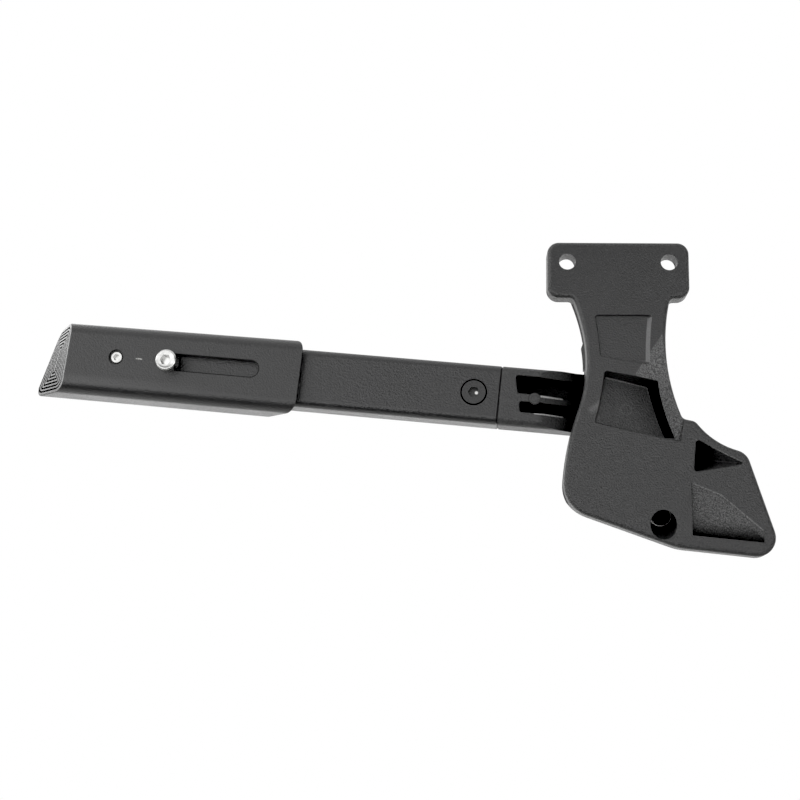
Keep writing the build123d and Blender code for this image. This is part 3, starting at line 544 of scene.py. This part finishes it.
def metalFinish(name, look, rim=None, ring=None):
    material, tree, shader = newMaterial(name)
    place = objectPlace(tree)
    cloud = noiseField(tree, place, *metalGrain["cloud"])
    fine = noiseField(tree, place, look["scratchScale"], *metalGrain["scratchDetail"])
    shader.inputs["Metallic"].default_value = 1.0
    color = blendColors(tree, spread(tree, cloud, *noiseSpan), look["dark"], look["light"])
    if rim:
        paintedShine = paintedRimHighlight(tree, place, rim)
        color = blendColors(tree, paintedShine, color, rim["color"])
        # painted highlight, not metal, so it is pale from every side
        tree.links.new(calc(tree, "SUBTRACT", 1.0, paintedShine), shader.inputs["Metallic"])
    if ring:
        # painted shade on the lower side of the bolt head
        rise = legPlace(tree, place)[1]
        low = spread(tree, rise, *ring["lowSide"], 0.0, ring["most"])
        line = product(tree, screwShadeRing(tree, place, ring), low)
        color = blendColors(tree, line, color, ring["color"])
    tree.links.new(color, shader.inputs["Base Color"])
    tree.links.new(spread(tree, fine, *noiseSpan, *look["rough"]), shader.inputs["Roughness"])
    roughen(tree, shader, ((fine, metalGrain["strength"]),), metalGrain["depth"])
    return material


# soft black pieces: buffer pad and tube plug
softLooks = {
    "bufferRubber": {
        "dark": (0.012, 0.012, 0.012), "light": (0.024, 0.023, 0.022), "rough": (0.62, 0.8),
        "grainScale": 900.0,
    },
    "plugPlastic": {
        "dark": (0.016, 0.016, 0.016), "light": (0.024, 0.024, 0.024), "rough": (0.45, 0.58),
        "grainScale": 1600.0,
    },
}
softGrain = {"cloud": (150.0, 3.0), "strength": 0.2, "depth": 0.0002}


def softFinish(name, look):
    material, tree, shader = newMaterial(name)
    place = objectPlace(tree)
    cloud = noiseField(tree, place, *softGrain["cloud"])
    grain = noiseField(tree, place, look["grainScale"])
    color = blendColors(tree, spread(tree, cloud, *noiseSpan), look["dark"], look["light"])
    tree.links.new(color, shader.inputs["Base Color"])
    tree.links.new(spread(tree, cloud, *noiseSpan, *look["rough"]), shader.inputs["Roughness"])
    roughen(tree, shader, ((grain, softGrain["strength"]),), softGrain["depth"])
    return material


finishes = {
    "mount_bracket": castingCoat("bracketCoat", castingLook, (0.0, -1.0, 0.0), markBracket),
    "pivot_arm": castingCoat("armCoat", castingLook, toWheel, markArm),
    "leg_tube": tubeCoat(tubeLook),
    "leg_screw": screwCoat(screwLook),
    "foot_sleeve": footPlastic(footLook),
    "adjust_bolt": metalFinish("boltHeadZinc", metalLooks["boltZinc"], ring=boltLowShade),
    "pivot_screw": metalFinish("oxidePaintedRim", metalLooks["blackOxide"], rim=rimLook),
    "stop_buffer": softFinish("bufferRubber", softLooks["bufferRubber"]),
    "tube_end_plug": softFinish("plugPlastic", softLooks["plugPlastic"]),
}
sharedMetals = {
    "boltZinc": ("grub_screw",),
    "groundSteel": ("pivot_pin", "stop_pin", "bracket_spring_post", "arm_spring_post", "clamp_nut"),
    "springWire": ("tension_spring",),
    "bushBronze": ("pivot_bush_inner", "pivot_bush_outer"),
}
for name, wearers in sharedMetals.items():
    finish = metalFinish(name, metalLooks[name])
    finishes.update({wearer: finish for wearer in wearers})
for wearer, finish in finishes.items():
    nodes[wearer].data.materials.clear()
    nodes[wearer].data.materials.append(finish)
print("finishes on", len(finishes), "pieces")


# studio: white surround with soft panels, pale floor well below
studio = {
    "base": 0.68, "blackPoint": 0.012,
    "floorPlace": (-0.1, 0.0, -0.42), "floorSize": (6.0, 6.0), "floorTone": (0.84, 0.84, 0.83),
    "floorShade": 0.985, "floorCloud": (1.2, 2.0), "floorRough": 0.9, "cardTone": (0.01, 0.01, 0.01, 1.0),
}
# cards just above the floor, seen only in the stand's reflections
cards = {
    "darkCard": {"place": (-0.1, -0.33, -0.36), "size": (2.4, 0.58), "glow": 0.05},
    "brightCard": {"place": (-0.1, -1.75, -0.36), "size": (5.0, 2.4), "glow": 2.6},
    "rearCard": {"place": (-0.1, 2.4, -0.36), "size": (5.0, 2.8), "glow": 2.2},
}
# turn and rise of each panel in degrees, seen from the stand; 0 is straight in front
panels = {
    "leftFront": {"turn": -36, "rise": 7, "full": 17, "fade": 33, "glow": 1.6},
    "rightFront": {"turn": 20, "rise": 1, "full": 6, "fade": 16, "glow": 3.8},
    "rightGap": {"turn": 42, "rise": 14, "full": 10, "fade": 30, "glow": -0.7},
    "leftSide": {"turn": -115, "rise": 5, "full": 25, "fade": 60, "glow": 0.5},
    "leftRaised": {"turn": -72, "rise": 20, "full": 6, "fade": 20, "glow": 4.0},
    "above": {"turn": 0, "rise": 85, "full": 20, "fade": 60, "glow": 0.8},
    "behindRight": {"turn": 132, "rise": 4, "full": 10, "fade": 40, "glow": 1.1},
    "behindLeft": {"turn": -140, "rise": 28, "full": 8, "fade": 32, "glow": 1.8},
}


def setSurround(base, panels):
    world = bpy.data.worlds.new("softSurround")
    world.use_nodes = True
    tree = world.node_tree
    toward = addNode(tree, "ShaderNodeTexCoord").outputs["Generated"]
    total = base
    for panel in panels.values():
        turn, rise, full, fade = (math.radians(panel[key]) for key in ("turn", "rise", "full", "fade"))
        way = (math.sin(turn) * math.cos(rise), -math.cos(turn) * math.cos(rise), math.sin(rise))
        facing = alongWay(tree, toward, way)
        glow = spread(tree, facing, math.cos(fade), math.cos(full), 0.0, panel["glow"], soft=True)
        total = calc(tree, "ADD", total, glow)
    backdrop = addNode(tree, "ShaderNodeLightPath").outputs["Is Camera Ray"]  # plain white behind the stand
    strength = calc(tree, "MULTIPLY_ADD", backdrop, calc(tree, "SUBTRACT", 1.0, total), total)
    tree.links.new(strength, tree.nodes["Background"].inputs["Strength"])
    tree.nodes["Background"].inputs["Color"].default_value = (1.0, 1.0, 1.0, 1.0)
    bpy.context.scene.world = world


def setTones(blackPoint):
    view = bpy.context.scene.view_settings
    view.view_transform = "Standard"
    view.use_curve_mapping = True  # deep blacks, as in a catalogue picture
    view.curve_mapping.black_level = [blackPoint] * 3
    view.curve_mapping.update()


def flatPlate(name, size, place, material):
    half = (size[0] / 2, size[1] / 2)
    mesh = bpy.data.meshes.new(name)
    corners = [(x * half[0], y * half[1], 0.0) for x, y in ((-1, -1), (1, -1), (1, 1), (-1, 1))]
    mesh.from_pydata(corners, [], [(0, 1, 2, 3)])
    mesh.materials.append(material)
    plate = bpy.data.objects.new(name, mesh)
    plate.location = place
    bpy.context.collection.objects.link(plate)
    return plate


def floorPaint(look):
    material, tree, shader = newMaterial("floorPaint")
    cloud = noiseField(tree, objectPlace(tree), *look["floorCloud"])
    shaded = tuple(part * look["floorShade"] for part in look["floorTone"])
    tree.links.new(blendColors(tree, cloud, shaded, look["floorTone"]), shader.inputs["Base Color"])
    shader.inputs["Roughness"].default_value = look["floorRough"]
    return material


def cardPaint(name, tone, glow):
    material, tree, shader = newMaterial(name)
    shader.inputs["Base Color"].default_value = tone
    shader.inputs["Roughness"].default_value = 1.0
    shader.inputs["Specular IOR Level"].default_value = 0.0
    shader.inputs["Emission Color"].default_value = (1.0, 1.0, 1.0, 1.0)
    shader.inputs["Emission Strength"].default_value = glow
    return material


def reflectionCard(name, card):
    plate = flatPlate(name, card["size"], card["place"], cardPaint(name, studio["cardTone"], card["glow"]))
    plate.visible_camera = False
    plate.visible_diffuse = False
    plate.visible_shadow = False


setSurround(studio["base"], panels)
setTones(studio["blackPoint"])
flatPlate("floor", studio["floorSize"], studio["floorPlace"], floorPaint(studio))
for name, card in cards.items():
    reflectionCard(name, card)
print("studio set with", len(panels), "panels and", len(cards), "cards")


# camera: low, a little to the left, looking up at the folded stand; angles in degrees
cameraSet = {
    "place": (-0.0605, -0.5318, -0.1739), "lens": 63.0, "sensor": 36.0, "nearest": 0.01,
    "up": 12.4, "left": 2.66, "roll": 1.168,
}


def addCamera(look):
    up, left, roll = (math.radians(look[key]) for key in ("up", "left", "roll"))
    ahead = Vector((-math.sin(left) * math.cos(up), math.cos(left) * math.cos(up), math.sin(up)))
    right = Vector((math.cos(left), math.sin(left), 0.0))
    top = right.cross(ahead)
    side = right * math.cos(roll) + top * math.sin(roll)
    head = top * math.cos(roll) - right * math.sin(roll)
    data = bpy.data.cameras.new("photoView")
    data.lens = look["lens"]
    data.sensor_width = look["sensor"]
    data.clip_start = look["nearest"]
    camera = bpy.data.objects.new("photoView", data)
    turn = Matrix((side, head, -ahead)).transposed()
    camera.matrix_world = Matrix.Translation(look["place"]) @ turn.to_4x4()
    bpy.context.collection.objects.link(camera)
    bpy.context.scene.camera = camera


addCamera(cameraSet)
print("camera set")

bpy.context.view_layer.update()
